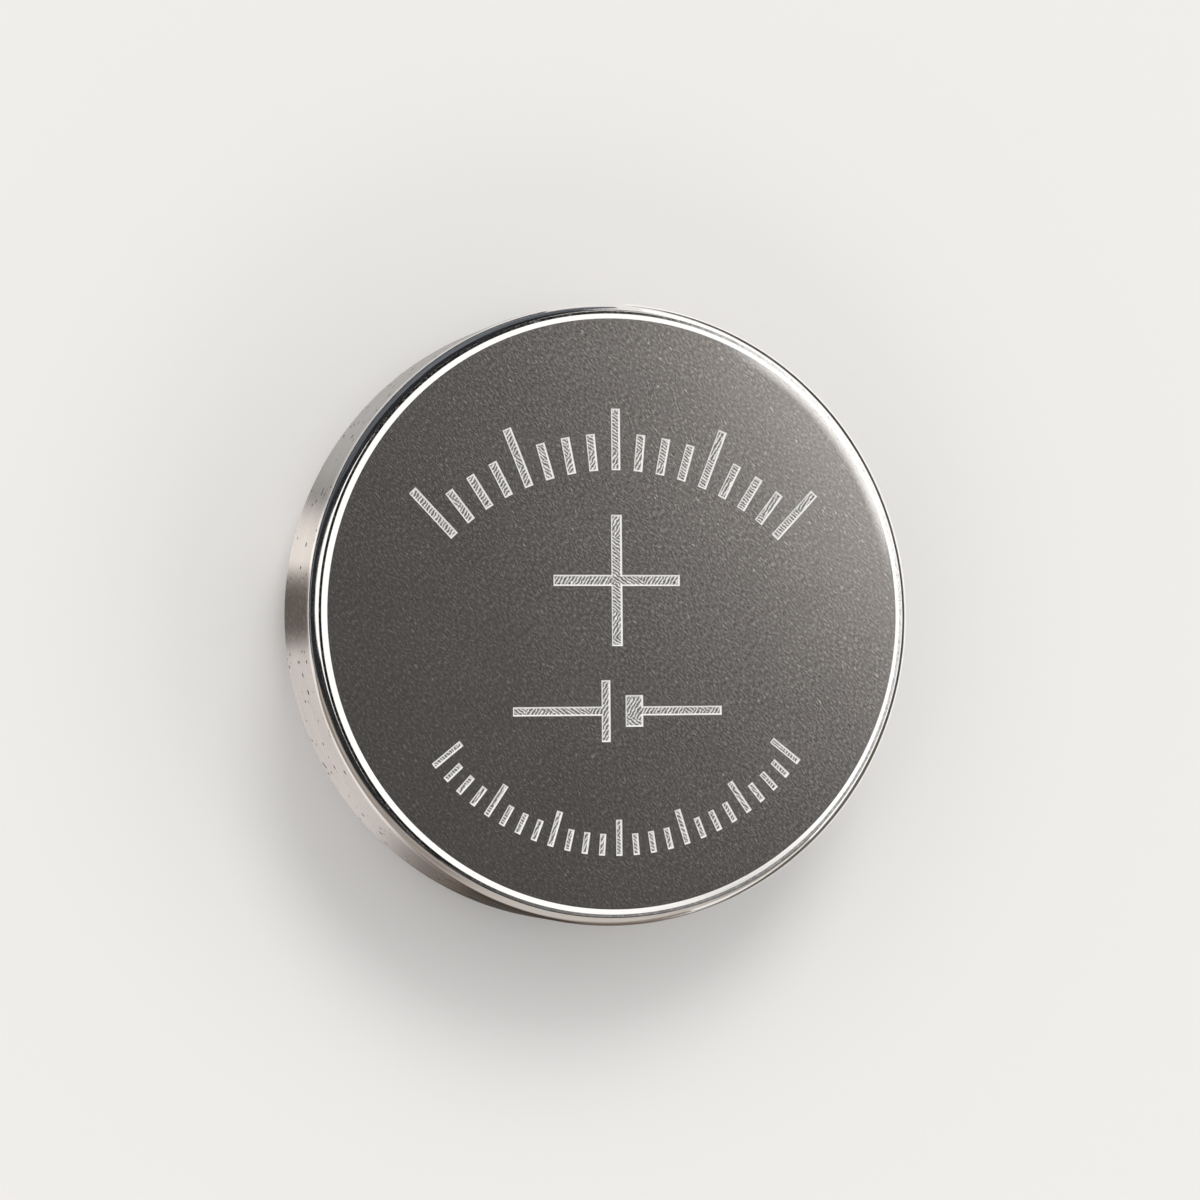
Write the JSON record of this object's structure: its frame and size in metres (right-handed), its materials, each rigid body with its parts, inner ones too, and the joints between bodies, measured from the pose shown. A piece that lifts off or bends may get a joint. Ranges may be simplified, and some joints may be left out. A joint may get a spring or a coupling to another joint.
{
  "type": "button cell",
  "caption": "Round button cell: a steel can with a raised, engraved positive face, rolled in over a stepped negative cap, a nylon seal ring and the active layers.",
  "frame": {"origin": "centre of the negative contact face, on the surface that the cell lies on", "axes": "+Z along the cell's axis, out of the positive face; +Y towards the upper scale of marks; +X to the right as the marks are read"},
  "size_m": [0.0078, 0.0078, 0.0021],
  "materials": {
    "can_nickel": "nickel-plated steel: matte grained face, polished bevel and rim, satin wall with fine marks round it, light etched marks",
    "cap_nickel": "nickel-plated steel, satin, with faint rub marks on the contact face",
    "gasket_nylon": "moulded natural nylon, slightly waxy",
    "cathode_mix": "pressed black powder with graphite, matte with a faint lustre",
    "barrier_film": "thin translucent film, drawn as pale and matte",
    "absorbent_felt": "felted fibre, soaked and matte",
    "zinc_paste": "grey paste of zinc grains"
  },
  "bodies": {
    "root": {"positive_can": "can_nickel", "negative_cap": "cap_nickel", "sealing_gasket": "gasket_nylon", "cathode_pellet": "cathode_mix", "barrier_film": "barrier_film", "absorbent_pad": "absorbent_felt", "zinc_anode": "zinc_paste"}
  },
  "joints": []
}
